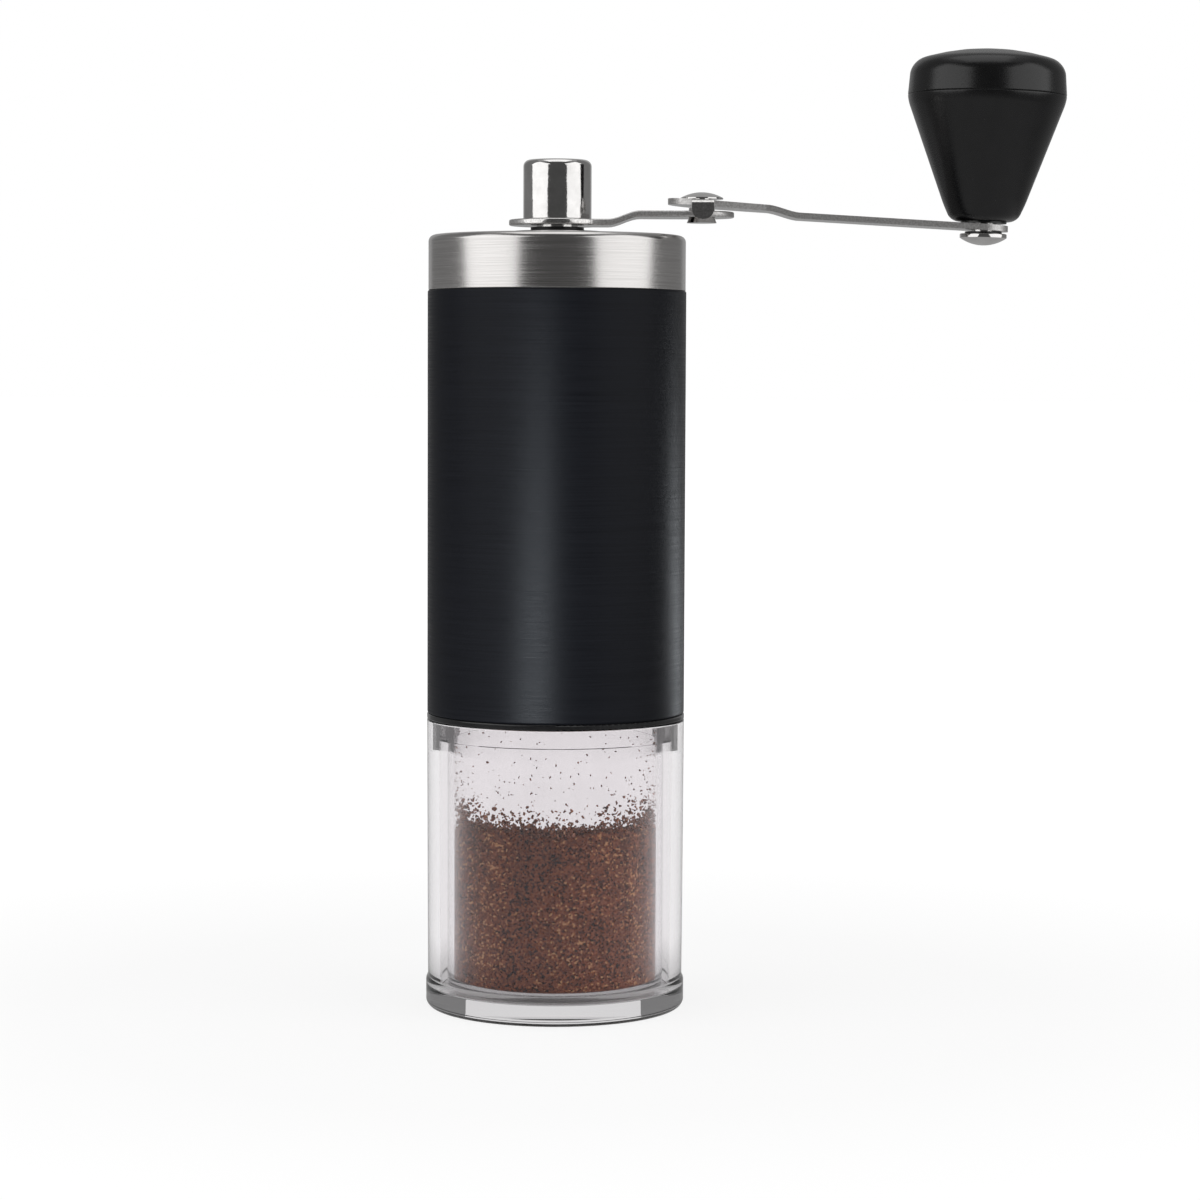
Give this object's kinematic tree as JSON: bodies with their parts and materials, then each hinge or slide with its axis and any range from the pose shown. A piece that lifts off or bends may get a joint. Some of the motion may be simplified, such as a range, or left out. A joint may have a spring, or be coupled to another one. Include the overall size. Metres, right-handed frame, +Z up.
{
  "type": "hand crank coffee grinder",
  "caption": "Slim hand coffee grinder with a black tube housing, clear double-walled grounds cup, steel lid, conical burrs and a folding crank with a tapered knob.",
  "frame": {"origin": "centre of the cup's flat underside", "axes": "+Z up along the shaft, +X along the crank from the hub to the knob"},
  "size_m": [0.1281, 0.0524, 0.1934],
  "materials": {
    "clear_plastic": "clear, polished",
    "seal_rubber": "smooth silicone",
    "black_brushed_metal": "black, brushed round the tube",
    "black_gloss_plastic": "moulded, gloss",
    "burr_ceramic": "matt, ground",
    "black_plastic": "moulded, satin",
    "pale_plastic": "machined",
    "shaft_steel": "turned",
    "brushed_lid_steel": "brushed round the lid",
    "polished_steel": "polished",
    "dark_steel": "blackened",
    "black_satin_plastic": "moulded, satin"
  },
  "bodies": {
    "cup": {"outer_cup": "clear_plastic", "inner_cup": "clear_plastic", "cup_seal": "seal_rubber"},
    "housing": {"body_tube": "black_brushed_metal", "burr_carrier": "black_gloss_plastic", "outer_burr": "burr_ceramic", "burr_retainer": "black_plastic", "lower_bush": "pale_plastic", "upper_spider": "black_plastic", "upper_bush": "pale_plastic"},
    "shaft": {"drive_shaft": "shaft_steel", "shaft_clip": "shaft_steel", "shaft_washer": "shaft_steel", "spring_washer": "shaft_steel", "burr_spring": "shaft_steel"},
    "burr": {"inner_burr": "burr_ceramic", "burr_core": "black_plastic"},
    "nut": {"adjusting_nut": "black_plastic"},
    "lid": {"lid_shell": "brushed_lid_steel", "lid_liner": "black_plastic", "lid_bush": "black_plastic"},
    "crank": {"crank_hub": "polished_steel", "crank_clip": "shaft_steel", "inner_arm": "polished_steel", "fold_rivet": "polished_steel", "fold_spacer": "polished_steel"},
    "folding_arm": {"outer_arm": "polished_steel", "knob_pin": "polished_steel", "knob_washer": "dark_steel", "pin_clip": "shaft_steel"},
    "knob": {"knob_body": "black_satin_plastic", "knob_cap": "black_satin_plastic"}
  },
  "joints": [
    {"name": "housing_lift", "type": "slide", "parent": "cup", "child": "housing", "axis": [0, 0, 1], "range_m": [0, 0.03]},
    {"name": "lid_lift", "type": "slide", "parent": "housing", "child": "lid", "axis": [0, 0, 1], "range_m": [0, 0.03]},
    {"name": "crank_turn", "type": "hinge", "parent": "lid", "child": "crank", "pos_m": [0, 0, 0.15905], "axis": [0, 0, 1], "continuous": true},
    {"name": "shaft_turn", "type": "hinge", "parent": "housing", "child": "shaft", "pos_m": [0, 0, 0.1], "axis": [0, 0, 1], "continuous": true},
    {"name": "arm_fold", "type": "hinge", "parent": "crank", "child": "folding_arm", "pos_m": [0.029, 0, 0.16175], "axis": [0, 0, 1], "range_deg": [0, 110]},
    {"name": "knob_spin", "type": "hinge", "parent": "folding_arm", "child": "knob", "pos_m": [0.0856, 0, 0.15721], "axis": [0.0175, 0, 0.9998], "continuous": true},
    {"name": "burr_lift", "type": "slide", "parent": "shaft", "child": "burr", "axis": [0, 0, 1], "range_m": [-0.0004, 0.0004], "deforming": ["burr_spring"]},
    {"name": "grind_adjust", "type": "hinge", "parent": "burr", "child": "nut", "pos_m": [0, 0, 0.0618], "axis": [0, 0, 1], "range_deg": [-190, 190]}
  ],
  "couplings": [
    {"joint": "shaft_turn", "follows": "crank_turn", "ratio": 1},
    {"joint": "grind_adjust", "follows": "burr_lift", "rad_per_m": 7854}
  ]
}
